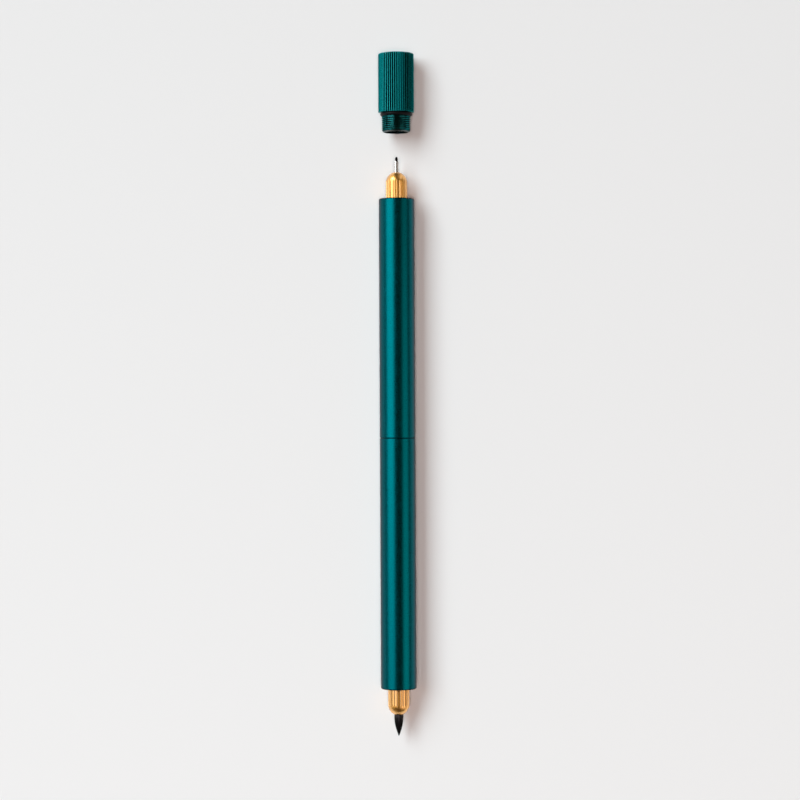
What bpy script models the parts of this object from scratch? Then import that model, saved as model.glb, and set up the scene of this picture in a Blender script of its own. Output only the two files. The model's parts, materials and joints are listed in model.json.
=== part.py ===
"""Dual-tip brush pen: a turned barrel with a fineliner at one end and a brush at the other.

The pen lies along Y on the plane z = 0, with the brush at -Y and the loose screw cap at +Y.
Sizes are in millimetres and become metres through MM. Every half of the pen is modelled in a
frame of its own, whose Z axis is the pen's axis and points out of that half's mouth.
"""

import math

import bmesh
import bpy
from mathutils import Matrix

MM = 0.001

# Driving dimensions, in millimetres
BARREL_D = 10.0
FINELINER_BARREL_LENGTH = 67.3
BRUSH_BARREL_LENGTH = 70.5
SECTION_D = 6.0
SECTION_STRAIGHT = 4.55
NEEDLE_D = 1.3
NEEDLE_REACH = 10.6
FINELINER_REACH = 11.85
BRUSH_D = 2.54
BRUSH_REACH = 13.45
CAP_LENGTH = 16.5
CAP_PARKED_GAP = 24.3
SPIGOT_D = 8.15
SPIGOT_LENGTH = 5.57
SEAL_BORE = 7.0
SEAL_CORD = 1.0

# Fits and edges
FIT = 0.05
SEAM_GAP = 0.05
SEAM_CHAMFER = 0.15
MOUTH_CHAMFER_WIDTH = 0.2
MOUTH_CHAMFER_LENGTH = 0.25
JOINER_CHAMFER = 0.3
SECTION_RIM = 0.15
NEEDLE_EDGE = 0.08
WELD = 1e-4
SHARP_EDGE = math.radians(30)

# Inside of a barrel half, as depths from its mouth and from its seam
SEAL_SEAT_DEPTH = 1.35
SOCKET_DEPTH = 5.9
WEB_DEPTH = 10.4
WEB_BORE = 5.0
MAIN_BORE = 7.8
JOINT_BORE = 8.4
JOINT_DEPTH = 8.05
JOINER_GRIP = 7.5
JOINER_BORE = 6.8

# Grooves of the nib sections and of the cap
FLUTES = 22
FLUTE_DEPTH = 0.12
FLUTE_SHARE = 0.45
FINELINER_SECTION_TURN = math.pi / FLUTES
BRUSH_SECTION_TURN = 0.0
KNURLS = 50
KNURL_DEPTH = 0.18
KNURL_SHARE = 0.8
CAP_CHAMFER = 0.2
CAP_BORE = 6.6
CAP_BORE_DEPTH = 15.1
SPIGOT_LEAD = 0.8
SPIGOT_LEAD_DROP = 0.5

# Nib units and ink cartridges
HOLDER_D = 3.5
HOLDER_FRONT = 4.85
HOLDER_REAR = -15.5
HOLDER_COLLAR_D = 4.8
HOLDER_COLLAR_LENGTH = 1.2
NEEDLE_BORE = 0.9
NEEDLE_REAR = -0.95
NIB_REAR = -20.5
FINELINER_FULLNESS = 2.8
BRUSH_STEM_D = 2.5
BRUSH_BELLY_RISE = 0.8
BRUSH_FULLNESS = 1.8
BRUSH_RING_SPREAD = 1.2
SLEEVE_D = 7.5
SLEEVE_WALL = 0.25
RESERVOIR_FRONT = -17.0
RESERVOIR_DRILL_DEPTH = 4.5
RESERVOIR_DRILL_EASE = 0.2
PLUG_HEAD = 1.45
PLUG_NOSE = 2.0
PLUG_VENT = 1.0
PLUG_END_GAP = 0.3

# Facets round a turned piece
BARREL_SIDES = 64
INNER_SIDES = 24
FINE_SIDES = 16
SEAL_SIDES = 48
SEAL_CORD_SIDES = 12
DOME_RINGS = 7
NIB_RINGS = 10

# Places along the pen
AXIS_HEIGHT = BARREL_D / 2
WHOLE_LENGTH = CAP_LENGTH + CAP_PARKED_GAP + FINELINER_BARREL_LENGTH + BRUSH_BARREL_LENGTH + BRUSH_REACH
CAP_SHOULDER_Y = WHOLE_LENGTH / 2 - CAP_LENGTH
FINELINER_MOUTH_Y = CAP_SHOULDER_Y - CAP_PARKED_GAP
SEAM_Y = FINELINER_MOUTH_Y - FINELINER_BARREL_LENGTH
BRUSH_MOUTH_Y = SEAM_Y - BRUSH_BARREL_LENGTH


def clear_scene():
    for item in list(bpy.data.objects):
        bpy.data.objects.remove(item, do_unlink=True)


def finish(name, color, roughness, metallic):
    made = bpy.data.materials.new(name)
    made.use_nodes = True
    shader = made.node_tree.nodes["Principled BSDF"]
    shader.inputs["Base Color"].default_value = (*color, 1.0)
    shader.inputs["Roughness"].default_value = roughness
    shader.inputs["Metallic"].default_value = metallic
    return made


def station(name, y, outward):
    """An empty on the pen's axis whose Z axis points along +Y (outward 1) or -Y (outward -1)."""
    empty = bpy.data.objects.new(name, None)
    bpy.context.collection.objects.link(empty)
    empty.location = (0.0, y * MM, AXIS_HEIGHT * MM)
    empty.rotation_euler.x = -outward * math.pi / 2
    return empty


def add_piece(name, bm, where, surface):
    """Turn a closed bmesh into a named object that sits at a station."""
    bmesh.ops.recalc_face_normals(bm, faces=bm.faces)
    if bm.calc_volume(signed=True) < 0:
        bmesh.ops.reverse_faces(bm, faces=bm.faces)
    mesh = bpy.data.meshes.new(name)
    bm.to_mesh(mesh)
    bm.free()
    mesh.shade_smooth()
    mesh.set_sharp_from_angle(angle=SHARP_EDGE)
    mesh.materials.append(surface)
    piece = bpy.data.objects.new(name, mesh)
    bpy.context.collection.objects.link(piece)
    piece.parent = where
    return piece


def turned(name, outline, sides, where, surface):
    """Spin an outline of (radius, height) points round Z.

    An outline that starts and ends on the axis gives a solid body, any other is closed into a
    ring. The flats, not the corners, lie on the stated radius.
    """
    bm = bmesh.new()
    half_step = math.pi / sides
    across = math.tan(half_step)
    corners = [bm.verts.new((r * MM, r * across * MM, z * MM)) for r, z in outline]
    edges = [bm.edges.new(pair) for pair in zip(corners, corners[1:])]
    if outline[0][0] > 0:
        edges.append(bm.edges.new((corners[-1], corners[0])))
    bmesh.ops.spin(bm, geom=corners + edges, cent=(0, 0, 0), axis=(0, 0, 1),
                   angle=2 * math.pi, steps=sides, use_merge=True)
    bmesh.ops.remove_doubles(bm, verts=bm.verts, dist=WELD * MM)
    return add_piece(name, bm, where, surface)


def ring(bm, places):
    """A ring of vertices from (angle, radius, height) places."""
    return [bm.verts.new((r * math.cos(a) * MM, r * math.sin(a) * MM, z * MM)) for a, r, z in places]


def join_rings(bm, fine, coarse):
    """Skin between two rings, of which the first may have several corners to one of the second."""
    step = len(fine) // len(coarse)
    for i, corner in enumerate(coarse):
        stretch = [fine[(i * step + k) % len(fine)] for k in range(step + 1)]
        bm.faces.new(stretch + [coarse[(i + 1) % len(coarse)], corner])


def join_run(bm, rings):
    for first, second in zip(rings, rings[1:]):
        join_rings(bm, first, second)


def groove_columns(count, share):
    """Angles round a grooved body, each with 1 at a groove's bottom and 0 at its two edges."""
    pitch = 2 * math.pi / count
    half_groove = pitch * share / 2
    columns = []
    for i in range(count):
        middle = i * pitch
        columns += [(middle - half_groove, 0), (middle, 1), (middle + half_groove, 0)]
    return columns


def plain_ring(bm, count, radius, height):
    """A round ring with one corner for each groove of the body that it belongs to."""
    return ring(bm, [(2 * math.pi * i / count, radius, height) for i in range(count)])


def barrel_half(name, length, where, surface):
    outer = BARREL_D / 2
    seat = SEAL_BORE / 2 + SEAL_CORD + FIT
    socket = SPIGOT_D / 2 + FIT
    outline = [
        (outer - MOUTH_CHAMFER_WIDTH, 0),
        (outer, -MOUTH_CHAMFER_LENGTH),
        (outer, SEAM_CHAMFER - length),
        (outer - SEAM_CHAMFER, -length),
        (JOINT_BORE / 2, -length),
        (JOINT_BORE / 2, JOINT_DEPTH - length),
        (MAIN_BORE / 2, JOINT_DEPTH - length),
        (MAIN_BORE / 2, -WEB_DEPTH),
        (WEB_BORE / 2, -WEB_DEPTH),
        (WEB_BORE / 2, -SOCKET_DEPTH),
        (socket, -SOCKET_DEPTH),
        (socket, -SEAL_SEAT_DEPTH),
        (seat, -SEAL_SEAT_DEPTH),
        (seat, 0),
    ]
    return turned(name, outline, BARREL_SIDES, where, surface)


def joiner(name, where, surface):
    """Threaded tube across the seam, seated in the brush half and screwed into the other one."""
    outer = JOINT_BORE / 2 - FIT
    seated_end = JOINT_DEPTH - FIT
    outline = [
        (outer, -seated_end),
        (outer, JOINER_GRIP - JOINER_CHAMFER),
        (outer - JOINER_CHAMFER, JOINER_GRIP),
        (JOINER_BORE / 2, JOINER_GRIP),
        (JOINER_BORE / 2, -seated_end),
    ]
    return turned(name, outline, BARREL_SIDES, where, surface)


def nib_section(name, nib_bore, turn, where, surface):
    """Fluted nose that ends in a half ball and screws into the barrel's web by its tail.

    A flute's bottom is a straight line, so it runs out on the ball where the ball has come down
    to the flute's depth, and the flutes' ends form a row of points round the ball. The turn says
    how far round the flutes stand with the nose screwed home.
    """
    radius = SECTION_D / 2
    rim = nib_bore / 2 + SECTION_RIM
    rim_slope = math.acos(rim / radius)
    rim_height = SECTION_STRAIGHT + radius * math.sin(rim_slope)
    shoulder = FIT - SOCKET_DEPTH
    tail_end = FIT - WEB_DEPTH
    holder_bore = HOLDER_D / 2 + FIT
    bore_top = HOLDER_FRONT + FIT
    columns = groove_columns(FLUTES, FLUTE_SHARE)
    depths = [radius - FLUTE_DEPTH * low for angle, low in columns]
    bm = bmesh.new()
    rings = [ring(bm, [(a, r, shoulder) for (a, low), r in zip(columns, depths)])]
    for k in range(DOME_RINGS + 1):
        places = []
        for (a, low), r in zip(columns, depths):
            run_out = math.acos(r / radius)
            slope = run_out + (rim_slope - run_out) * k / DOME_RINGS
            places.append((a, radius * math.cos(slope), SECTION_STRAIGHT + radius * math.sin(slope)))
        rings.append(ring(bm, places))
    join_run(bm, rings)
    inside = [(nib_bore / 2, rim_height), (nib_bore / 2, bore_top), (holder_bore, bore_top),
              (holder_bore, tail_end), (WEB_BORE / 2 - FIT, tail_end), (WEB_BORE / 2 - FIT, shoulder)]
    inner_rings = [plain_ring(bm, FLUTES, r, z) for r, z in inside]
    join_run(bm, inner_rings)
    join_rings(bm, rings[-1], inner_rings[0])
    join_rings(bm, rings[0], inner_rings[-1])
    bmesh.ops.rotate(bm, verts=bm.verts, cent=(0, 0, 0), matrix=Matrix.Rotation(turn, 3, "Z"))
    return add_piece(name, bm, where, surface)


def nib_holder(name, front_bore, front_depth, rear_bore, where, surface):
    """Plastic carrier of a nib, with the collar that stops it behind the section's tail."""
    body = HOLDER_D / 2
    collar = HOLDER_COLLAR_D / 2
    collar_top = -WEB_DEPTH
    outline = [
        (body, HOLDER_FRONT),
        (body, collar_top),
        (collar, collar_top),
        (collar, collar_top - HOLDER_COLLAR_LENGTH),
        (body, collar_top - HOLDER_COLLAR_LENGTH),
        (body, HOLDER_REAR),
        (rear_bore / 2, HOLDER_REAR),
        (rear_bore / 2, front_depth),
    ]
    if front_bore > rear_bore:
        outline.append((front_bore / 2, front_depth))
    outline.append((front_bore / 2, HOLDER_FRONT))
    return turned(name, outline, INNER_SIDES, where, surface)


def needle_tube(name, where, surface):
    outer = NEEDLE_D / 2
    outline = [
        (outer - NEEDLE_EDGE, NEEDLE_REACH),
        (outer, NEEDLE_REACH - NEEDLE_EDGE),
        (outer, NEEDLE_REAR),
        (NEEDLE_BORE / 2, NEEDLE_REAR),
        (NEEDLE_BORE / 2, NEEDLE_REACH),
    ]
    return turned(name, outline, INNER_SIDES, where, surface)


def fineliner_nib(name, where, surface):
    """Fibre rod from the reservoir to the writing point, with a bullet nose outside the needle."""
    radius = NEEDLE_BORE / 2 - FIT
    nose = FINELINER_REACH - NEEDLE_REACH
    outline = [(0, FINELINER_REACH)]
    for k in range(1, NIB_RINGS + 1):
        share = math.cos(math.pi / 2 * k / NIB_RINGS)
        width = radius * math.sqrt(1 - share ** FINELINER_FULLNESS)
        outline.append((width, NEEDLE_REACH + nose * share))
    outline += [(radius, NIB_REAR), (0, NIB_REAR)]
    return turned(name, outline, FINE_SIDES, where, surface)


def brush_nib(name, where, surface):
    """Bonded-fibre brush on a straight stem: a slight belly, then a full taper to a point."""
    stem = BRUSH_STEM_D / 2
    belly = BRUSH_D / 2
    exit_height = SECTION_STRAIGHT + math.sqrt((SECTION_D / 2) ** 2 - belly ** 2)
    taper = BRUSH_REACH - exit_height - BRUSH_BELLY_RISE
    outline = [(0, BRUSH_REACH)]
    for k in range(1, NIB_RINGS + 1):
        down = (k / NIB_RINGS) ** BRUSH_RING_SPREAD
        width = belly * (1 - (1 - down) ** BRUSH_FULLNESS)
        outline.append((width, BRUSH_REACH - taper * down))
    outline += [(stem, exit_height), (stem, NIB_REAR), (0, NIB_REAR)]
    return turned(name, outline, INNER_SIDES, where, surface)


def cartridge(prefix, barrel_length, joiner_reach, nib_d, where, surfaces):
    """Ink cartridge behind a nib: a film sleeve, the fibre reservoir in it and a vented end plug."""
    sleeve = SLEEVE_D / 2
    inner = sleeve - SLEEVE_WALL
    core = inner - FIT
    front = -WEB_DEPTH - FIT
    plug_end = joiner_reach + PLUG_END_GAP - barrel_length
    sleeve_end = plug_end + PLUG_HEAD
    core_end = sleeve_end + PLUG_NOSE + FIT
    drill = nib_d / 2 + RESERVOIR_DRILL_EASE / 2
    drill_end = RESERVOIR_FRONT - RESERVOIR_DRILL_DEPTH
    turned(prefix + "_reservoir_sleeve",
           [(sleeve, front), (sleeve, sleeve_end), (inner, sleeve_end), (inner, front)],
           INNER_SIDES, where, surfaces["film"])
    turned(prefix + "_reservoir",
           [(0, drill_end), (drill, drill_end), (drill, RESERVOIR_FRONT), (core, RESERVOIR_FRONT),
            (core, core_end), (0, core_end)],
           INNER_SIDES, where, surfaces["felt"])
    turned(prefix + "_reservoir_plug",
           [(core, core_end - FIT), (core, sleeve_end - FIT), (sleeve, sleeve_end - FIT),
            (sleeve, plug_end), (PLUG_VENT / 2, plug_end), (PLUG_VENT / 2, core_end - FIT)],
           INNER_SIDES, where, surfaces["plastic"])


def cap_shell(name, where, surface):
    """Screw cap in one piece: knurled grip, seal groove under its shoulder, threaded spigot, blind bore."""
    half_land = math.pi / KNURLS * (1 - KNURL_SHARE)
    crest = BARREL_D / 2 / math.cos(half_land)
    top_edge = BARREL_D / 2 - CAP_CHAMFER
    columns = groove_columns(KNURLS, KNURL_SHARE)
    depths = [crest - KNURL_DEPTH * low for angle, low in columns]
    bm = bmesh.new()
    top = ring(bm, [(a, top_edge, CAP_LENGTH) for a, low in columns])
    chamfer = ring(bm, [(a, r, CAP_LENGTH - (r - top_edge)) for (a, low), r in zip(columns, depths)])
    shoulder = ring(bm, [(a, r, 0) for (a, low), r in zip(columns, depths)])
    bm.faces.new(top)
    join_run(bm, [top, chamfer, shoulder])
    neck = SEAL_BORE / 2 - FIT
    thread = SPIGOT_D / 2
    groove = SEAL_CORD + 2 * FIT
    profile = [(neck, 0), (neck, -groove), (thread, -groove), (thread, SPIGOT_LEAD - SPIGOT_LENGTH),
               (thread - SPIGOT_LEAD_DROP, -SPIGOT_LENGTH), (CAP_BORE / 2, -SPIGOT_LENGTH),
               (CAP_BORE / 2, CAP_BORE_DEPTH)]
    rings = [plain_ring(bm, KNURLS, r, z) for r, z in profile]
    join_rings(bm, shoulder, rings[0])
    join_run(bm, rings)
    bm.faces.new(rings[-1])
    return add_piece(name, bm, where, surface)


def seal_ring(name, where, surface):
    """O-ring under the cap's shoulder."""
    cord = SEAL_CORD / 2
    middle = SEAL_BORE / 2 + cord
    height = -cord - FIT
    outline = []
    for k in range(SEAL_CORD_SIDES):
        turn = -2 * math.pi * (k + 0.5) / SEAL_CORD_SIDES
        outline.append((middle + cord * math.cos(turn), height + cord * math.sin(turn)))
    return turned(name, outline, SEAL_SIDES, where, surface)


def build():
    clear_scene()
    anodised = finish("teal_anodised", (0.005, 0.13, 0.15), 0.36, 1.0)
    brass = finish("brass", (0.72, 0.40, 0.15), 0.3, 1.0)
    steel = finish("needle_steel", (0.75, 0.75, 0.76), 0.2, 1.0)
    rubber = finish("black_rubber", (0.02, 0.02, 0.022), 0.55, 0.0)
    fibre = finish("black_fibre", (0.015, 0.013, 0.016), 0.7, 0.0)
    plastic = finish("natural_plastic", (0.62, 0.60, 0.55), 0.45, 0.0)
    stores = {
        "film": finish("sleeve_film", (0.75, 0.76, 0.78), 0.3, 0.0),
        "felt": finish("reservoir_felt", (0.04, 0.04, 0.045), 0.9, 0.0),
        "plastic": plastic,
    }
    fineliner_end = station("fineliner_end", FINELINER_MOUTH_Y, 1)
    brush_end = station("brush_end", BRUSH_MOUTH_Y, -1)
    seam = station("seam", SEAM_Y, 1)
    cap_seat = station("cap_seat", CAP_SHOULDER_Y, 1)

    barrel_half("fineliner_barrel", FINELINER_BARREL_LENGTH - SEAM_GAP / 2, fineliner_end, anodised)
    barrel_half("brush_barrel", BRUSH_BARREL_LENGTH - SEAM_GAP / 2, brush_end, anodised)
    joiner("barrel_joiner", seam, anodised)

    nib_section("fineliner_section", NEEDLE_D + 2 * FIT, FINELINER_SECTION_TURN, fineliner_end, brass)
    nib_holder("fineliner_nib_holder", NEEDLE_D + 2 * FIT, NEEDLE_REAR - FIT, NEEDLE_BORE,
               fineliner_end, plastic)
    needle_tube("fineliner_needle_tube", fineliner_end, steel)
    fineliner_nib("fineliner_tip", fineliner_end, fibre)
    cartridge("fineliner", FINELINER_BARREL_LENGTH, JOINER_GRIP, NEEDLE_BORE - 2 * FIT,
              fineliner_end, stores)

    nib_section("brush_section", BRUSH_D + 2 * FIT, BRUSH_SECTION_TURN, brush_end, brass)
    nib_holder("brush_nib_holder", BRUSH_STEM_D + 2 * FIT, 0.0, BRUSH_STEM_D + 2 * FIT,
               brush_end, plastic)
    brush_nib("brush_tip", brush_end, fibre)
    cartridge("brush", BRUSH_BARREL_LENGTH, JOINT_DEPTH, BRUSH_STEM_D, brush_end, stores)

    cap_shell("cap_shell", cap_seat, anodised)
    seal_ring("cap_o_ring", cap_seat, rubber)


build()
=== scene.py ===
"""Looks of the dual-tip brush pen: fine turned surfaces, procedural finishes, studio light and camera.

Every piece is skinned in a frame of its own, whose Z axis is the pen's axis and points out of the
mouth that the piece belongs to. Sizes are in millimetres and become metres through MM.
"""

import json
import math
import random

import bmesh
import bpy
from mathutils import Matrix, Vector


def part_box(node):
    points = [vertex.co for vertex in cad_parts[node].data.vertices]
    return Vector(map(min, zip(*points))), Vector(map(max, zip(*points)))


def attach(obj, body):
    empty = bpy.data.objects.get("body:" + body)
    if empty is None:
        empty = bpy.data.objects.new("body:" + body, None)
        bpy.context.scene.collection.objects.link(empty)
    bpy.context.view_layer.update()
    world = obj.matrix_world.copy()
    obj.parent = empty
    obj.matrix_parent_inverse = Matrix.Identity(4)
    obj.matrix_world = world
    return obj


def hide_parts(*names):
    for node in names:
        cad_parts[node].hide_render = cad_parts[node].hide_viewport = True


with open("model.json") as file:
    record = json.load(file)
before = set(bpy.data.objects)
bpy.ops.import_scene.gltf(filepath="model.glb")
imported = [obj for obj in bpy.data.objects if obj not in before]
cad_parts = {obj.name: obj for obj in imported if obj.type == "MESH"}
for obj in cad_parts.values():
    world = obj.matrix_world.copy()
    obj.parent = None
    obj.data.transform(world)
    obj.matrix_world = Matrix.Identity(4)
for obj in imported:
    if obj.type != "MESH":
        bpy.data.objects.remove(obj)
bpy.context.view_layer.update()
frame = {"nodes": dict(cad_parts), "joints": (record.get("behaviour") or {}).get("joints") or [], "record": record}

MM = 0.001
JOINTS = {joint["name"]: joint for joint in frame["joints"]}

# Barrel halves and joiner: a bore is its radius and depth, the joiner its outer and inner radius
BARREL_R = 5.0
SEAM_CHAMFER = 0.15
MOUTH_CHAMFER = (0.2, 0.25)
SEAL_SEAT = (4.55, 1.35)
SOCKET = (4.135, 5.9)
WEB = (2.5, 10.4)
MAIN_BORE_R = 3.9
JOINT_BORE = (4.2, 8.05)
JOINER = (4.15, 3.4)
JOINER_GRIP = 7.5
JOINER_SEATED = 8.0
JOINER_CHAMFER = 0.3

# Nib sections and nibs, with heights from the barrel's mouth
SECTION_R = 3.0
SECTION_STRAIGHT = 4.55
SECTION_SHOULDER = -5.85
SECTION_TAIL = (2.45, -10.35)
SECTION_BORE = (1.8, 4.9)
SECTION_RIM = 0.15
SECTION_RIM_EASE = 0.02
FLUTES = 22
FLUTE_DEPTH = 0.12
FLUTE_WIDTH = 0.45
NEEDLE_R = 0.65
NEEDLE_BORE_R = 0.45
NEEDLE_REACH = 10.6
NEEDLE_REAR = -0.95
NEEDLE_EDGE = 0.08
POINT_R = 0.4
POINT_REACH = 11.85
POINT_FULLNESS = 2.8
NIB_REAR = -20.5
BRUSH_R = 1.27
BRUSH_STEM_R = 1.25
BRUSH_REACH = 13.45
BRUSH_BELLY_RISE = 0.8
BRUSH_FULLNESS = 1.8
NIB_CLEARANCE = 0.05

# Strands of the brush: ranges are what is drawn for each one
BRUSH_SEED = 11
BRUSH_STRANDS = 44
STRAND_DEPTH = 0.045
STRAND_WANDER = (-0.3, 0.3)
STRAND_AMOUNT = (0.25, 1.0)
STRAND_WIDTH = (0.5, 0.9)
STRAND_RUN_IN = 0.4
STRAND_SHARE_AT_HOLE = 0.5
STRAND_HOLD = 1.2

# Cap and its seal, with heights from the cap's shoulder
CAP_LENGTH = 16.5
CAP_CHAMFER = 0.2
KNURLS = 50
KNURL_DEPTH = 0.18
KNURL_WIDTH = 1.0
NECK = (3.45, 1.1)
SPIGOT_R = 4.075
SPIGOT_LENGTH = 5.57
SPIGOT_CHAMFER = 0.1
SPIGOT_LEAD = 0.8
SPIGOT_LEAD_POWER = 1.5
SPIGOT_LIP_SHARE = 0.15
SPIGOT_END_R = 3.575
CAP_BORE_R = 3.3
CAP_BORE_DEPTH = 15.1
CAP_BORE_CHAMFER = 0.3
SEAL_MIDDLE_R = 4.0
SEAL_CORD_R = 0.5
SEAL_HEIGHT = -0.55

# Screw threads, as pitch and depth; the gaps are the plain lengths above and below one
CAP_THREAD = (0.545, 0.27)
SOCKET_GAPS = (0.2, 0.3)
SPIGOT_GAPS = (0.15, SPIGOT_LEAD / 3)
JOINER_THREAD = (0.75, 0.3)
JOINER_GAPS = (0.1, 0.3)
THREAD_FLAT = 0.15
THREAD_RUN_OUT = 0.5
ROWS_PER_PITCH = 10

# Fineness of the skins
BARREL_COLUMNS = 180
CAP_COLUMNS = 150
KNURL_STEPS = 12
FLUTE_STEPS = 18
INNER_PER_FLUTE = 3
NEEDLE_COLUMNS = 64
BRUSH_COLUMNS = 220
BRUSH_ROWS = 56
BRUSH_ROW_CROWDING = 1.2
DOME_ROWS = 22
NOSE_ROWS = 18
SEAL_COLUMNS = 144
SEAL_CORD_STEPS = 28
EDGE = 0.05
EASE_STEPS = 3
EASE_SHARE = 0.24
SHARP_EDGE = math.radians(40)
RELIEF_GAIN = 4.0
BORE_FACING = -0.5

# Finishes: the spread that a noise mostly keeps to, and heights between which a finish changes
NOISE_SPREAD = (0.3, 0.7)
BLAST_GRAIN = 0.3
BLAST_DETAIL = 4.0
# Heights over which painted shade comes in at the barrel's mouth
MOUTH_RIM_SHADE = (-0.32, -0.18)
# Heights over which the painted shade on the spigot gives way to the grip's tone
SPIGOT_SHADE_FADE = (-0.6, -0.4)
CAP_LIP = (0.30 - SPIGOT_LENGTH, 0.18 - SPIGOT_LENGTH)
BALL_FOOT = (SECTION_STRAIGHT - 0.3, SECTION_STRAIGHT + 0.8)
# Height at which the brush's painted sheen has faded out, and the length over which it fades
BRUSH_SHEEN_END = 9.8
SHEEN_RUN = 2.5

# Colours that are handed to finishes
# Painted shade inside the bores
BORE_SHADE = (0.0, 0.020, 0.024)
BARE_METAL = (0.22, 0.24, 0.24)
# Painted shade in the flutes of the noses: faint at the fine end, deep at the brush end
LIGHT_FLUTE_SHADE = (1.0, 0.465, 0.077)
DEEP_FLUTE_SHADE = (0.27, 0.092, 0.014)
INKED_DARK = (0.002, 0.0015, 0.0015)
INKED_PALE = (0.006, 0.005, 0.005)
# Painted pale sheen near the brush's base
BRUSH_SHEEN = (0.060, 0.051, 0.054)

# Room: its light beside the window, across from it and overhead, and the slope at which these blend
ROOM_AT_WINDOW = (0.32, 0.32, 0.32)
ROOM_ACROSS = (0.10, 0.096, 0.092)
ROOM_OVERHEAD = (0.060, 0.038, 0.027)
ROOM_BLEND = 0.5
WARM_CARD = (1.0, 0.88, 0.80)

# Sheet under the pen: half its side in metres, its tones, which darken it towards the cap as painted shade, and
# how far out along the pen they are full
SHEET_HALF = 3.0
SHEET_AT_BRUSH = (0.835, 0.835, 0.835)
SHEET_AT_CAP = (0.775, 0.775, 0.775)
SHEET_FADE = 120.0

# Inputs and output of Blender's node that mixes two colours
MIX_FIRST = 6
MIX_SECOND = 7
MIX_RESULT = 2

# Camera, from the photograph: scale at the pen's axis, focal length and where the frame's centre falls
FRAME_PIXELS = 800
MM_PER_PIXEL = 0.2815
FOCAL_PIXELS = 2277
CAMERA_CENTRE = (0.72, -1.39)
CAMERA_ROLL = math.radians(-0.262)
SENSOR_WIDTH = 36.0
CAMERA_RANGE = 20.0


def station(joint, outward):
    """Frame of a piece: on the pen's axis at a joint's place, Z along +Y (outward 1) or -Y (-1)."""
    place = Matrix.Translation(Vector(JOINTS[joint]["pos_m"]))
    return place @ Matrix.Rotation(-outward * math.pi / 2, 4, "X")


def length_of(node):
    """Length of a CAD node along the pen, in millimetres."""
    low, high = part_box(node)
    return (high[1] - low[1]) / MM


def even_angles(count):
    return [2 * math.pi * i / count for i in range(count)]


def towards(start, end, distance, most):
    """The point at a distance from start on the way to end, held to a share of the way."""
    share = min(distance / math.dist(start, end), most)
    return (start[0] + (end[0] - start[0]) * share, start[1] + (end[1] - start[1]) * share)


def eased(outline, size=EDGE):
    """An open outline of (radius, height) with every inner corner turned into a short curve."""
    points = [outline[0]]
    for before, corner, after in zip(outline, outline[1:], outline[2:]):
        start = towards(corner, before, size, EASE_SHARE)
        end = towards(corner, after, size, EASE_SHARE)
        points.append(towards(corner, before, 2 * size, 2 * EASE_SHARE))
        for k in range(EASE_STEPS + 1):
            t = k / EASE_STEPS
            weights = ((1 - t) ** 2, 2 * t * (1 - t), t ** 2)
            points.append(tuple(sum(w * p[axis] for w, p in zip(weights, (start, corner, end)))
                                for axis in (0, 1)))
        points.append(towards(corner, after, 2 * size, 2 * EASE_SHARE))
    points.append(outline[-1])
    return points


def smooth(value):
    """A soft step: 0 up to 0, 1 from 1 on."""
    value = min(max(value, 0.0), 1.0)
    return value * value * (3 - 2 * value)


def thread_rows(start, end, plain, deep, pitch):
    """Rows of a right-handed thread between two heights, from its plain radius to its deep one."""
    low, high = min(start, end), max(start, end)
    count = math.ceil((high - low) / pitch * ROWS_PER_PITCH)

    def row(height):
        amount = smooth((height - low) / THREAD_RUN_OUT) * smooth((high - height) / THREAD_RUN_OUT)

        def radius(angle):
            phase = (height / pitch - angle / (2 * math.pi)) % 1.0
            wave = abs(2 * phase - 1) * (1 + 2 * THREAD_FLAT) - THREAD_FLAT
            return plain + (deep - plain) * amount * smooth(wave)
        return radius

    heights = [start + (end - start) * k / count for k in range(count + 1)]
    return [(row(height), height) for height in heights]


def ring(bm, angles, radius, height):
    """A ring of vertices; the radius, and the height, may be numbers or functions of the angle."""
    places = []
    for angle in angles:
        r = radius(angle) if callable(radius) else radius
        z = height(angle) if callable(height) else height
        places.append(bm.verts.new((r * math.cos(angle) * MM, r * math.sin(angle) * MM, z * MM)))
    return places


def join_rings(bm, first, second):
    """Skin between two rings, of which one may have several corners to one of the other."""
    fine, coarse = (first, second) if len(first) >= len(second) else (second, first)
    step = len(fine) // len(coarse)
    for i, corner in enumerate(coarse):
        stretch = [fine[(i * step + k) % len(fine)] for k in range(step + 1)]
        bm.faces.new(stretch + [coarse[(i + 1) % len(coarse)], corner])


def join_run(bm, rings):
    for first, second in zip(rings, rings[1:]):
        join_rings(bm, first, second)


def close_ring(bm, loop, height):
    """Close a ring with a fan of faces to a point on the axis."""
    pole = bm.verts.new((0, 0, height * MM))
    for a, b in zip(loop, loop[1:] + loop[:1]):
        bm.faces.new((a, b, pole))


def mark_relief(bm):
    """Store on each vertex what the finishes need to know of its place.

    The relief says how far it stands proud (towards 1) or lies in a groove (towards -1), and the
    bore is 1 where the surface faces the pen's axis.
    """
    relief = bm.verts.layers.float.new("relief")
    bore = bm.verts.layers.float.new("bore")
    for vertex in bm.verts:
        ways = [(edge.other_vert(vertex).co - vertex.co).normalized() for edge in vertex.link_edges]
        proud = -sum(vertex.normal.dot(way) for way in ways) / len(ways)
        vertex[relief] = min(max(proud * RELIEF_GAIN, -1.0), 1.0)
        outward = Vector((vertex.co.x, vertex.co.y, 0.0)).normalized()
        vertex[bore] = 1.0 if vertex.normal.dot(outward) < BORE_FACING else 0.0


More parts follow.
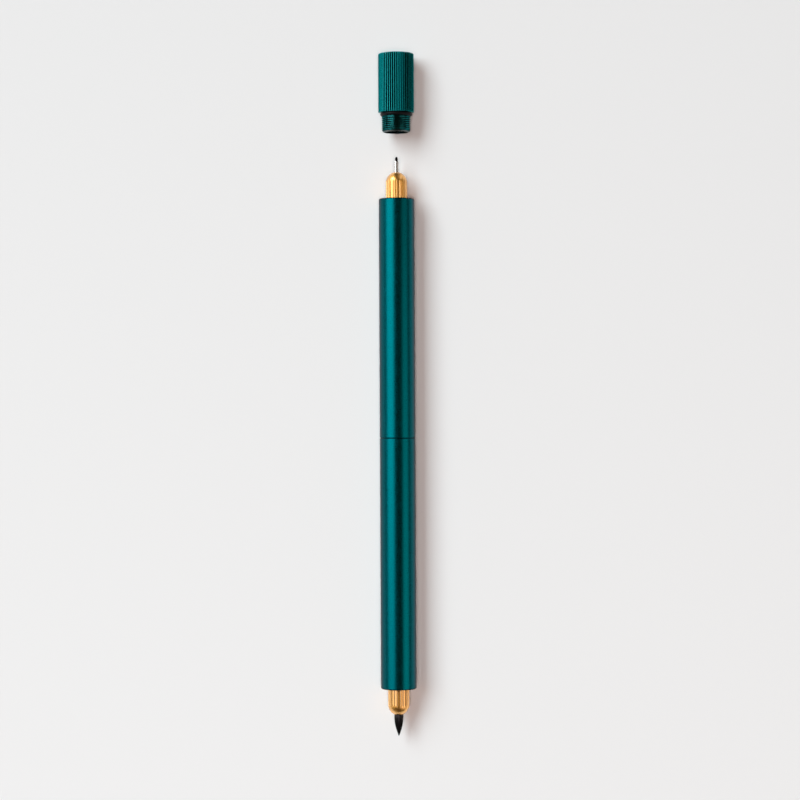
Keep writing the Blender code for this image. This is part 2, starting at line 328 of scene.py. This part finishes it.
def add_piece(name, bm, place, finish, node):
    """Make a closed bmesh the piece that stands for a CAD node, on that node's body, with the finish handed in."""
    bmesh.ops.recalc_face_normals(bm, faces=bm.faces)
    if bm.calc_volume(signed=True) < 0:
        bmesh.ops.reverse_faces(bm, faces=bm.faces)
    bm.normal_update()
    mark_relief(bm)
    mesh = bpy.data.meshes.new(name)
    bm.to_mesh(mesh)
    bm.free()
    mesh.shade_smooth()
    mesh.set_sharp_from_angle(angle=SHARP_EDGE)
    mesh.materials.append(finish)
    piece = bpy.data.objects.new(name, mesh)
    bpy.context.collection.objects.link(piece)
    piece.matrix_world = place
    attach(piece, BODY_OF[node])
    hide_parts(node)
    return piece


def turned(name, rows, columns, place, finish, node):
    """Piece from rows of (radius, height) round Z: a closed loop, or a solid with ends on the axis."""
    bm = bmesh.new()
    angles = even_angles(columns)
    on_axis = rows[0][0] == 0
    rings = [ring(bm, angles, r, z) for r, z in (rows[1:-1] if on_axis else rows)]
    join_run(bm, rings)
    if on_axis:
        close_ring(bm, rings[0], rows[0][1])
        close_ring(bm, rings[-1], rows[-1][1])
    else:
        join_rings(bm, rings[-1], rings[0])
    return add_piece(name, bm, place, finish, node)


def barrel_half(name, place, finish, node):
    """Half of the barrel, from its mouth at height 0 down to the seam."""
    length = length_of(node)
    seat_r, seat_depth = SEAL_SEAT
    socket_r, socket_depth = SOCKET
    web_r, web_depth = WEB
    joint_r, joint_depth = JOINT_BORE
    chamfer_width, chamfer_length = MOUTH_CHAMFER
    pitch, depth = CAP_THREAD
    gap_above, gap_below = SOCKET_GAPS
    thread_top = -seat_depth - gap_above
    thread_end = gap_below - socket_depth
    outline = [
        (socket_r, thread_top),
        (socket_r, -seat_depth),
        (seat_r, -seat_depth),
        (seat_r, 0),
        (BARREL_R - chamfer_width, 0),
        (BARREL_R, -chamfer_length),
        (BARREL_R, SEAM_CHAMFER - length),
        (BARREL_R - SEAM_CHAMFER, -length),
        (joint_r, -length),
        (joint_r, joint_depth - length),
        (MAIN_BORE_R, joint_depth - length),
        (MAIN_BORE_R, -web_depth),
        (web_r, -web_depth),
        (web_r, -socket_depth),
        (socket_r, -socket_depth),
        (socket_r, thread_end),
    ]
    thread = thread_rows(thread_end, thread_top, socket_r, socket_r + depth, pitch)
    return turned(name, eased(outline) + thread[1:-1], BARREL_COLUMNS, place, finish, node)


def joiner(name, place, finish, node):
    """Tube across the seam, which is at height 0, threaded above it."""
    outer, inner = JOINER
    pitch, depth = JOINER_THREAD
    gap_above, thread_end = JOINER_GAPS
    thread_top = JOINER_GRIP - JOINER_CHAMFER - gap_above
    outline = [
        (outer, thread_end),
        (outer, -JOINER_SEATED),
        (inner, -JOINER_SEATED),
        (inner, JOINER_GRIP),
        (outer - JOINER_CHAMFER, JOINER_GRIP),
        (outer, JOINER_GRIP - JOINER_CHAMFER),
        (outer, thread_top),
    ]
    thread = thread_rows(thread_top, thread_end, outer, outer - depth, pitch)
    return turned(name, eased(outline) + thread[1:-1], BARREL_COLUMNS, place, finish, node)


def grooved_angles(count, steps, width):
    """Angles round a grooved body, with how deep the groove is there, from 0 to 1.

    The width is a groove's share of the space from one groove to the next.
    """
    angles = even_angles(count * steps)
    level = math.cos(math.pi * width)
    return angles, [max(0.0, (math.cos(angle * count) - level) / (1 - level)) for angle in angles]


def nib_section(name, nib_r, place, finish, node):
    """Fluted nose with a half-ball end, where each flute runs out as the ball comes down to it."""
    angles, deep = grooved_angles(FLUTES, FLUTE_STEPS, FLUTE_WIDTH)
    depth_at = dict(zip(angles, deep))
    bore_r, bore_top = SECTION_BORE
    tail_r, tail_end = SECTION_TAIL
    hole_r = nib_r + NIB_CLEARANCE
    rim_slope = math.acos((hole_r + SECTION_RIM) / SECTION_R)
    rim_height = SECTION_STRAIGHT + SECTION_R * math.sin(rim_slope)

    def flute(angle):
        return SECTION_R - FLUTE_DEPTH * depth_at[angle]

    def slope(angle, share):
        run_out = math.acos(flute(angle) / SECTION_R)
        return run_out + (rim_slope - run_out) * share

    bm = bmesh.new()
    straight = (SECTION_SHOULDER, SECTION_SHOULDER + EDGE, -EDGE, 0.0,
                SECTION_STRAIGHT - 3 * EDGE, SECTION_STRAIGHT - EDGE)
    rings = [ring(bm, angles, flute, height) for height in straight]
    for k in range(DOME_ROWS + 1):
        share = k / DOME_ROWS
        rings.append(ring(bm, angles,
                          lambda a: SECTION_R * math.cos(slope(a, share)),
                          lambda a: SECTION_STRAIGHT + SECTION_R * math.sin(slope(a, share))))
    join_run(bm, rings)
    inside = eased([
        (hole_r + SECTION_RIM / 2, rim_height + SECTION_RIM_EASE),
        (hole_r, rim_height - SECTION_RIM_EASE),
        (hole_r, bore_top),
        (bore_r, bore_top),
        (bore_r, tail_end),
        (tail_r, tail_end),
        (tail_r, SECTION_SHOULDER),
    ])
    inner_angles = even_angles(FLUTES * INNER_PER_FLUTE)
    inner = [ring(bm, inner_angles, r, z) for r, z in inside]
    join_run(bm, inner)
    join_rings(bm, rings[-1], inner[0])
    join_rings(bm, rings[0], inner[-1])
    return add_piece(name, bm, place, finish, node)


def needle(name, place, finish, node):
    """Thin tube that the fine point sits in."""
    outline = [
        (NEEDLE_R, 0.0),
        (NEEDLE_R, NEEDLE_REACH),
        (NEEDLE_BORE_R, NEEDLE_REACH),
        (NEEDLE_BORE_R, NEEDLE_REAR),
        (NEEDLE_R, NEEDLE_REAR),
        (NEEDLE_R, NEEDLE_REAR / 2),
    ]
    return turned(name, eased(outline, NEEDLE_EDGE), NEEDLE_COLUMNS, place, finish, node)


def fine_point(name, place, finish, node):
    """Fibre rod with a full bullet nose."""
    nose = POINT_REACH - NEEDLE_REACH
    rows = [(0, POINT_REACH)]
    for k in range(1, NOSE_ROWS + 1):
        share = math.cos(math.pi / 2 * k / NOSE_ROWS)
        rows.append((POINT_R * math.sqrt(1 - share ** POINT_FULLNESS), NEEDLE_REACH + nose * share))
    rows += [(POINT_R, NIB_REAR), (0, NIB_REAR)]
    return turned(name, rows, NEEDLE_COLUMNS, place, finish, node)


def brush_point(name, place, finish, node):
    """Bonded-fibre brush: a slight belly, then a full taper, with shallow strands drawn to the point."""
    draw = random.Random(BRUSH_SEED)
    strands = []
    for i in range(BRUSH_STRANDS):
        middle = 2 * math.pi * (i + draw.uniform(*STRAND_WANDER)) / BRUSH_STRANDS
        strands.append((middle, draw.uniform(*STRAND_AMOUNT), draw.uniform(*STRAND_WIDTH)))
    half_width = math.pi / BRUSH_STRANDS
    angles = even_angles(BRUSH_COLUMNS)

    def parting(angle):
        """Depth of the gap between strands at an angle, from 0 to 1."""
        deepest = 0.0
        for middle, amount, width in strands:
            away = abs((angle - middle + math.pi) % (2 * math.pi) - math.pi)
            deepest = max(deepest, amount * smooth(1 - away / (half_width * width)))
        return deepest

    partings = dict(zip(angles, map(parting, angles)))
    exit_height = SECTION_STRAIGHT + math.sqrt(SECTION_R ** 2 - BRUSH_R ** 2)
    taper = BRUSH_REACH - exit_height - BRUSH_BELLY_RISE
    bm = bmesh.new()

    def brush_ring(plain, height, amount):
        return ring(bm, angles, lambda a: plain - STRAND_DEPTH * amount * partings[a], height)

    rings = [
        brush_ring(BRUSH_STEM_R, NIB_REAR, 0.0),
        brush_ring(BRUSH_STEM_R, exit_height - STRAND_RUN_IN, 0.0),
        brush_ring(BRUSH_STEM_R, exit_height, STRAND_SHARE_AT_HOLE),
    ]
    for k in range(BRUSH_ROWS):
        down = (1 - k / BRUSH_ROWS) ** BRUSH_ROW_CROWDING
        width = BRUSH_R * (1 - (1 - down) ** BRUSH_FULLNESS)
        amount = min(1.0, width / BRUSH_R * STRAND_HOLD)
        rings.append(brush_ring(width, BRUSH_REACH - taper * down, amount))
    join_run(bm, rings)
    close_ring(bm, rings[0], NIB_REAR)
    close_ring(bm, rings[-1], BRUSH_REACH)
    return add_piece(name, bm, place, finish, node)


def cap(name, place, finish, node):
    """Knurled grip, neck for the seal, threaded spigot with a rounded lead-in, and the blind bore."""
    angles, deep = grooved_angles(KNURLS, KNURL_STEPS, KNURL_WIDTH)
    depth_at = dict(zip(angles, deep))
    top_edge = BARREL_R - CAP_CHAMFER

    def tooth(angle):
        return BARREL_R - KNURL_DEPTH * depth_at[angle]

    def chamfer(angle):
        """Width of the end's chamfer at an angle, and how much of it eases each of its two edges."""
        width = tooth(angle) - top_edge
        return width, min(EDGE / 2, width / 3)

    def chamfer_top(angle):
        return chamfer(angle)[1]

    def chamfer_foot(angle):
        width, ease = chamfer(angle)
        return width - ease

    def below_chamfer(distance):
        return lambda angle: CAP_LENGTH - chamfer(angle)[0] - distance

    bm = bmesh.new()
    top = ring(bm, angles, top_edge - EDGE, CAP_LENGTH)
    grip = [
        top,
        ring(bm, angles, lambda a: top_edge + chamfer_top(a), lambda a: CAP_LENGTH - chamfer_top(a)),
        ring(bm, angles, lambda a: top_edge + chamfer_foot(a), lambda a: CAP_LENGTH - chamfer_foot(a)),
        ring(bm, angles, tooth, below_chamfer(EDGE / 2)),
        ring(bm, angles, tooth, below_chamfer(3 * EDGE)),
        ring(bm, angles, tooth, 3 * EDGE),
        ring(bm, angles, tooth, EDGE),
        ring(bm, angles, lambda a: tooth(a) - EDGE, 0.0),
    ]
    bm.faces.new(top)
    join_run(bm, grip)

    neck_r, neck_length = NECK
    pitch, depth = CAP_THREAD
    gap_above, gap_below = SPIGOT_GAPS
    lead_start = SPIGOT_LEAD - SPIGOT_LENGTH
    thread = thread_rows(-neck_length - gap_above, gap_below - SPIGOT_LENGTH,
                         SPIGOT_R, SPIGOT_R - depth, pitch)

    def lead_in_r(height):
        """Radius of the rounded lead-in at a height, and of the spigot above it."""
        share = max(0.0, (lead_start - height) / SPIGOT_LEAD)
        return SPIGOT_R - (SPIGOT_R - SPIGOT_END_R) * share ** SPIGOT_LEAD_POWER

    def led_in(row):
        """A row of the thread, held within the lead-in."""
        radius, height = row
        most = lead_in_r(height)
        return (lambda angle: min(radius(angle), most)), height

    lip_height = SPIGOT_LIP_SHARE * SPIGOT_LEAD - SPIGOT_LENGTH
    neck = eased([
        (BARREL_R - KNURL_DEPTH - 4 * EDGE, 0),
        (neck_r, 0),
        (neck_r, -neck_length),
        (SPIGOT_R - SPIGOT_CHAMFER, -neck_length),
        (SPIGOT_R, -neck_length - SPIGOT_CHAMFER),
    ])
    mouth = eased([
        (lead_in_r(lip_height), lip_height),
        (SPIGOT_END_R, -SPIGOT_LENGTH),
        (CAP_BORE_R, -SPIGOT_LENGTH),
        (CAP_BORE_R, CAP_BORE_DEPTH - CAP_BORE_CHAMFER),
        (CAP_BORE_R - CAP_BORE_CHAMFER, CAP_BORE_DEPTH),
    ])
    rows = neck + [led_in(row) for row in thread] + mouth
    spigot_angles = even_angles(CAP_COLUMNS)
    spigot = [ring(bm, spigot_angles, r, z) for r, z in rows]
    join_rings(bm, grip[-1], spigot[0])
    join_run(bm, spigot)
    bm.faces.new(spigot[-1])
    return add_piece(name, bm, place, finish, node)


def seal(name, place, finish, node):
    """Ring of round rubber cord."""
    rows = []
    for turn in even_angles(SEAL_CORD_STEPS):
        out, up = SEAL_CORD_R * math.cos(turn), SEAL_CORD_R * math.sin(turn)
        rows.append((SEAL_MIDDLE_R + out, SEAL_HEIGHT + up))
    return turned(name, rows, SEAL_COLUMNS, place, finish, node)


class Finish:
    """A material under construction: its Principled shader and short ways to add nodes."""

    def __init__(self, name, roughness, metallic=0.0, **sockets):
        self.material = bpy.data.materials.new(name)
        self.material.use_nodes = True
        self.tree = self.material.node_tree
        self.shader = self.tree.nodes["Principled BSDF"]
        self.shader.inputs["Roughness"].default_value = roughness
        self.shader.inputs["Metallic"].default_value = metallic
        for socket, value in sockets.items():
            self.shader.inputs[socket.replace("_", " ")].default_value = value
        self.bump = None

    def add(self, kind, inputs, output=0, **settings):
        """A new node's output socket; an input is a value or another node's output socket."""
        node = self.tree.nodes.new("ShaderNode" + kind)
        for key, value in settings.items():
            setattr(node, key, value)
        for socket, value in inputs.items():
            if isinstance(value, bpy.types.NodeSocket):
                self.tree.links.new(value, node.inputs[socket])
            else:
                node.inputs[socket].default_value = value
        return node.outputs[output]

    def place(self, scale=(1.0, 1.0, 1.0)):
        """Coordinates in the piece's own frame, in millimetres, stretched by a scale."""
        spot = self.add("TexCoord", {}, "Object")
        return self.add("Mapping", {"Vector": spot, "Scale": tuple(s / MM for s in scale)})

    def height(self):
        """Height along the piece's own axis, in millimetres."""
        return self.add("SeparateXYZ", {"Vector": self.place()}, "Z")

    def noise(self, size, scale=(1.0, 1.0, 1.0), detail=2.0):
        """Noise with features of a size in millimetres."""
        inputs = {"Vector": self.place(scale), "Scale": 1.0 / size, "Detail": detail}
        return self.add("TexNoise", inputs)

    def turning(self, size):
        """Marks of the lathe, of a size in millimetres: rings along a side and round an end face."""
        x, y, height = (self.add("SeparateXYZ", {"Vector": self.place()}, axis) for axis in "XYZ")
        across = self.add("CombineXYZ", {"X": x, "Y": y})
        radius = self.add("VectorMath", {0: across}, "Value", operation="LENGTH")
        run = self.add("Math", {0: radius, 1: height}, operation="ADD")
        return self.add("TexNoise", {"W": run, "Scale": 1.0 / size}, noise_dimensions="1D")

    def fit(self, value, low, high, start=0.0, end=1.0):
        """A value mapped from low..high to start..end, held at both ends."""
        return self.add("MapRange", {"Value": value, "From Min": low, "From Max": high,
                                     "To Min": start, "To Max": end})

    def vary(self, noise, start=0.0, end=1.0):
        """A noise mapped from its usual spread to start..end."""
        return self.fit(noise, *NOISE_SPREAD, start, end)

    def stored(self, name):
        """A number that is stored on the piece's vertices."""
        return self.add("Attribute", {}, "Fac", attribute_name=name)

    def relief(self, low, high):
        """The relief of the surface, mapped from low..high to 0..1."""
        return self.fit(self.stored("relief"), low, high)

    def mix(self, share, first, second):
        """Colour between two, each a colour or a socket."""
        sockets = {0: share, MIX_FIRST: first, MIX_SECOND: second}
        for number in (MIX_FIRST, MIX_SECOND):
            if not isinstance(sockets[number], bpy.types.NodeSocket):
                sockets[number] = (*sockets[number], 1.0)
        return self.add("Mix", sockets, MIX_RESULT, data_type="RGBA")

    def use(self, socket, value):
        self.tree.links.new(value, self.shader.inputs[socket])

    def press(self, height, strength, distance):
        """Lay a bump, with its depth in millimetres, over those laid before."""
        inputs = {"Height": height, "Strength": strength, "Distance": distance * MM}
        if self.bump:
            inputs["Normal"] = self.bump
        self.bump = self.add("Bump", inputs)
        self.use("Normal", self.bump)


def anodise(made, grain, body, polish, edges, proud, groove_shade, low):
    """Lay satin anodising on a finish: fine blasted grain over faint turning marks.

    The roughness follows the grain over the polish range. Relief in the proud range turns the body's
    colour into the painted edge shading, relief in the low range into the painted groove shade, and
    bores into a painted deep shade.
    """
    made.use("Roughness", made.vary(grain, *polish))
    made.press(grain, strength=0.8, distance=0.015)
    made.press(made.turning(0.07), strength=0.10, distance=0.003)
    # Painted edge shading where the relief stands proud.
    edged = made.mix(made.relief(*proud), body, edges)
    # Painted shade where the relief lies low.
    grooved = made.mix(made.relief(*low), edged, groove_shade)
    # Painted shade inside the bores, where the surface faces the axis.
    made.use("Base Color", made.mix(made.stored("bore"), grooved, BORE_SHADE))


def barrel_finish():
    """Deep teal for the barrel, with painted shade on the rim at its mouth and on its edges and hollows."""
    made = Finish("teal_anodised_satin", 0.32, metallic=1.0, Specular_Tint=(0.85, 0.60, 0.60, 1.0))
    grain = made.noise(BLAST_GRAIN, detail=BLAST_DETAIL)
    wall = made.mix(made.vary(grain), (0.0, 0.086, 0.102), (0.0, 0.130, 0.154))
    # Painted shade on the rim at the mouth.
    body = made.mix(made.fit(made.height(), *MOUTH_RIM_SHADE), wall, (0.0, 0.030, 0.036))
    # Painted shade on the proud edges and in the hollows.
    anodise(made, grain, body, polish=(0.27, 0.37), edges=(0.0, 0.04, 0.047), proud=(0.45, 0.9),
            groove_shade=(0.0, 0.025, 0.030), low=(0.0, -0.3))
    return made.material


def cap_finish():
    """The same metal on the cap: painted highlights on the ridges of the knurl and, dimmer, of the thread, painted
    shade in the grooves and over the spigot, bare turned lip at the spigot's end.
    """
    made = Finish("teal_anodised_knurled", 0.32, metallic=1.0, Specular_Tint=(0.4, 0.5, 0.5, 1.0))
    grain = made.noise(BLAST_GRAIN, detail=BLAST_DETAIL)
    height = made.height()
    grip = made.fit(height, *SPIGOT_SHADE_FADE)
    lip = made.fit(height, *CAP_LIP)
    # Painted shade over the spigot, giving way to the grip's tone above.
    body = made.mix(grip, (0.0, 0.035, 0.038), (0.0, 0.105, 0.112))
    # Painted highlights on the knurl's ridges, varying at random.
    pale = made.mix(made.vary(grain), (0.011, 0.315, 0.330), (0.019, 0.410, 0.425))
    # Dimmer painted highlights on the spigot's thread ridges.
    crest_highlights = made.mix(grip, (0.025, 0.245, 0.250), pale)
    edges = made.mix(lip, crest_highlights, BARE_METAL)
    # Near black painted shade in the grooves of the knurl and thread.
    anodise(made, grain, made.mix(lip, body, BARE_METAL), polish=(0.19, 0.27), edges=edges,
            proud=(0.15, 0.45), groove_shade=(0.0, 0.001, 0.002), low=(0.10, -0.10))
    return made.material


def brass_finish(name, groove_shade):
    """Lacquered turned brass: satin sides, painted highlights on the lands and painted shade in the flutes,
    smoother half-ball end.
    """
    made = Finish(name, 0.5, metallic=1.0, Coat_Weight=1.0, Coat_IOR=1.8, Coat_Roughness=0.18)
    clouds = made.noise(1.6, detail=3.0)
    body = made.mix(made.vary(clouds), (1.0, 0.480, 0.080), (1.0, 0.500, 0.092))
    # Painted highlight on the proud lands between the flutes.
    land_highlight = made.mix(made.relief(0.12, 0.5), body, (1.0, 0.56, 0.155))
    # Painted shade in the flutes, of the tone handed in.
    made.use("Base Color", made.mix(made.relief(-0.10, -0.30), land_highlight, groove_shade))
    made.use("Roughness", made.fit(made.height(), *BALL_FOOT, start=0.43, end=0.34))
    made.press(made.turning(0.05), strength=0.05, distance=0.002)
    return made.material


def steel_finish():
    """Drawn steel tube with faint lines along it."""
    made = Finish("steel_drawn", 0.25, metallic=1.0)
    lines = made.noise(0.05, scale=(1.0, 1.0, 0.02))
    made.use("Base Color", made.mix(made.vary(lines), (0.70, 0.68, 0.65), (0.78, 0.76, 0.73)))
    made.use("Roughness", made.vary(lines, start=0.20, end=0.26))
    made.press(lines, strength=0.1, distance=0.002)
    return made.material


def rubber_finish():
    """Moulded black rubber with a slight bloom."""
    made = Finish("rubber_moulded", 0.4, Specular_IOR_Level=0.12)
    bloom = made.noise(0.35, detail=4.0)
    paler = made.fit(bloom, 0.35, 0.75)
    made.use("Base Color", made.mix(paler, (0.003, 0.003, 0.0035), (0.007, 0.007, 0.008)))
    made.use("Roughness", made.vary(bloom, start=0.32, end=0.46))
    made.press(made.noise(0.06), strength=0.2, distance=0.004)
    return made.material


def fibre_finish(name, sheen_tone, sheen_end):
    """Fibre soaked with black ink: fine strands along the nib, and a painted sheen that makes it paler up to a
    height.
    """
    made = Finish(name, 0.6, Specular_IOR_Level=0.06)
    strands = made.noise(0.05, scale=(1.0, 1.0, 0.03), detail=3.0)
    inked = made.mix(made.fit(strands, 0.35, 0.7), INKED_DARK, INKED_PALE)
    streaks = made.fit(made.noise(0.3, scale=(1.0, 1.0, 0.2)), 0.35, 0.65)
    back = made.fit(made.height(), sheen_end, sheen_end - SHEEN_RUN)
    # Painted sheen in streaks, fading out towards the point.
    sheen_share = made.add("Math", {0: back, 1: streaks}, operation="MULTIPLY")
    made.use("Base Color", made.mix(sheen_share, inked, sheen_tone))
    made.use("Roughness", made.vary(strands, start=0.42, end=0.75))
    made.press(strands, strength=0.45, distance=0.012)
    return made.material


def plastic_finish():
    """Uncoloured moulded plastic."""
    made = Finish("plastic_natural", 0.45)
    clouds = made.noise(2.5)
    made.use("Base Color", made.mix(made.vary(clouds), (0.58, 0.56, 0.51), (0.66, 0.64, 0.59)))
    made.press(made.noise(0.08), strength=0.1, distance=0.004)
    return made.material


def film_finish():
    """Thin clear film, slightly milky."""
    made = Finish("film_clear", 0.25, Transmission_Weight=0.6)
    made.use("Base Color", made.mix(made.noise(4.0), (0.72, 0.73, 0.75), (0.80, 0.81, 0.83)))
    return made.material


def felt_finish():
    """Ink-soaked fibre of the reservoirs."""
    made = Finish("felt_inked", 0.9)
    strands = made.noise(0.08, scale=(1.0, 1.0, 0.1), detail=3.0)
    made.use("Base Color", made.mix(strands, (0.015, 0.015, 0.017), (0.07, 0.07, 0.075)))
    made.press(strands, strength=0.5, distance=0.03)
    return made.material


def softbox(name, radiance, size, place, tint=(1.0, 1.0, 1.0)):
    """Area lamp that faces the pen, first side along it; its power follows from its face's radiance."""
    lamp = bpy.data.lights.new(name, "AREA")
    lamp.shape = "RECTANGLE"
    lamp.size, lamp.size_y = size
    lamp.energy = radiance * math.pi * size[0] * size[1]
    lamp.color = tint
    holder = bpy.data.objects.new(name, lamp)
    bpy.context.collection.objects.link(holder)
    holder.location = place
    back = holder.location.normalized()
    along = (Vector((0, 1, 0)) - back * back.y).normalized()
    holder.rotation_euler = Matrix((along, back.cross(along), back)).transposed().to_euler()
    return holder


def add_floor():
    """Pale sheet under the pen, with painted shade that makes it a little darker towards the cap."""
    made = Finish("floor_pale", 0.9, Specular_IOR_Level=0.1)
    along = made.add("SeparateXYZ", {"Vector": made.place()}, "Y")
    # Painted shade that darkens the sheet towards the cap.
    towards_cap = made.fit(along, -SHEET_FADE, SHEET_FADE)
    made.use("Base Color", made.mix(towards_cap, SHEET_AT_BRUSH, SHEET_AT_CAP))
    bm = bmesh.new()
    bmesh.ops.create_grid(bm, x_segments=1, y_segments=1, size=SHEET_HALF)
    mesh = bpy.data.meshes.new("floor")
    bm.to_mesh(mesh)
    bm.free()
    mesh.materials.append(made.material)
    floor = bpy.data.objects.new("floor", mesh)
    bpy.context.collection.objects.link(floor)


def add_world():
    """Dim room, a little warm overhead and paler to the horizon, most of all on the window's side."""
    world = bpy.data.worlds.new("studio")
    world.use_nodes = True
    tree = world.node_tree
    direction = tree.nodes.new("ShaderNodeTexCoord")
    split = tree.nodes.new("ShaderNodeSeparateXYZ")
    rise = tree.nodes.new("ShaderNodeMapRange")
    rise.inputs["From Max"].default_value = ROOM_BLEND
    side = tree.nodes.new("ShaderNodeMapRange")
    side.inputs["From Min"].default_value = -ROOM_BLEND
    side.inputs["From Max"].default_value = ROOM_BLEND
    horizon = tree.nodes.new("ShaderNodeMix")
    horizon.data_type = "RGBA"
    horizon.inputs[MIX_FIRST].default_value = (*ROOM_AT_WINDOW, 1.0)
    horizon.inputs[MIX_SECOND].default_value = (*ROOM_ACROSS, 1.0)
    sky = tree.nodes.new("ShaderNodeMix")
    sky.data_type = "RGBA"
    sky.inputs[MIX_SECOND].default_value = (*ROOM_OVERHEAD, 1.0)
    tree.links.new(direction.outputs["Generated"], split.inputs[0])
    tree.links.new(split.outputs["X"], side.inputs["Value"])
    tree.links.new(split.outputs["Z"], rise.inputs["Value"])
    tree.links.new(side.outputs[0], horizon.inputs[0])
    tree.links.new(horizon.outputs[MIX_RESULT], sky.inputs[MIX_FIRST])
    tree.links.new(rise.outputs[0], sky.inputs[0])
    tree.links.new(sky.outputs[MIX_RESULT], tree.nodes["Background"].inputs["Color"])
    bpy.context.scene.world = world


def add_light():
    """Soft light on the sheet from a far window and from above, and cards for the metal to mirror."""
    window = softbox("window", 7.5, (3.6, 2.2), (-2.36, 1.76, 3.13), (0.828, 0.963, 1.0))
    top = softbox("top", 19.5, (0.6, 0.6), (0.0, -0.2, 2.2), (1.0, 0.836, 0.80))
    left = softbox("left_card", 2.8, (2.1, 1.75), (-1.30, 0.58, 1.25), (0.94, 0.985, 1.0))
    right = softbox("right_card", 1.6, (1.2, 1.3), (1.42, -0.42, 1.11), WARM_CARD)
    low = softbox("low_card", 0.30, (1.2, 1.3), (1.44, -0.95, 1.13), WARM_CARD)
    far = softbox("far_card", 5.0, (0.7, 0.7), (-1.08, 1.42, 0.89))
    rear = softbox("rear_card", 1.0, (1.0, 0.9), (1.25, 1.46, 0.62))
    for lamp in (window, top):
        lamp.visible_glossy = False
    for card in (left, right, low, far, rear):
        card.visible_diffuse = False


def add_camera():
    """Camera of the photograph, straight above the pen."""
    data = bpy.data.cameras.new("camera")
    data.sensor_width = SENSOR_WIDTH
    data.lens = SENSOR_WIDTH * FOCAL_PIXELS / FRAME_PIXELS
    data.clip_end = CAMERA_RANGE
    camera = bpy.data.objects.new("camera", data)
    bpy.context.collection.objects.link(camera)
    height = BARREL_R + MM_PER_PIXEL * FOCAL_PIXELS
    camera.location = (CAMERA_CENTRE[0] * MM, CAMERA_CENTRE[1] * MM, height * MM)
    camera.rotation_euler.z = CAMERA_ROLL
    bpy.context.scene.camera = camera


BODY_OF = {node: body
           for body, nodes in frame["record"]["behaviour"]["bodies"].items()
           for node in nodes}
SLOT_OF = {part["node"]: part["material_slot"] for part in frame["record"]["subparts"]}

fineliner_end = station("fineliner_section_turn", 1)
brush_end = station("brush_section_turn", -1)
seam = station("barrel_turn", 1)
cap_seat = station("cap_turn", 1)

anodised = barrel_finish()
brass_light_shade = brass_finish("brass_light_flute_shade", LIGHT_FLUTE_SHADE)
brass_deep_shade = brass_finish("brass_deep_flute_shade", DEEP_FLUTE_SHADE)
fine_fibre = fibre_finish("fibre_fine", INKED_PALE, NEEDLE_REACH)
brush_fibre = fibre_finish("fibre_brush", BRUSH_SHEEN, BRUSH_SHEEN_END)
half_flute = Matrix.Rotation(math.pi / FLUTES, 4, "Z")

barrel_half("barrel_fineliner_half", fineliner_end, anodised, "fineliner_barrel")
barrel_half("barrel_brush_half", brush_end, anodised, "brush_barrel")
joiner("joiner_threaded", seam, anodised, "barrel_joiner")
nib_section("nose_fineliner", NEEDLE_R, fineliner_end @ half_flute, brass_light_shade, "fineliner_section")
nib_section("nose_brush", BRUSH_R, brush_end, brass_deep_shade, "brush_section")
needle("needle_drawn", fineliner_end, steel_finish(), "fineliner_needle_tube")
fine_point("point_fine", fineliner_end, fine_fibre, "fineliner_tip")
brush_point("point_brush", brush_end, brush_fibre, "brush_tip")
cap("cap_knurled", cap_seat, cap_finish(), "cap_shell")
seal("seal_ring", cap_seat, rubber_finish(), "cap_o_ring")

INNER_FINISHES = {
    "natural_plastic": plastic_finish(),
    "sleeve_film": film_finish(),
    "reservoir_felt": felt_finish(),
}
for node, shown in frame["nodes"].items():
    if SLOT_OF[node] in INNER_FINISHES:
        for slot in shown.material_slots:
            slot.material = INNER_FINISHES[SLOT_OF[node]]

add_floor()
add_world()
add_light()
add_camera()
bpy.context.scene.view_settings.view_transform = "Standard"
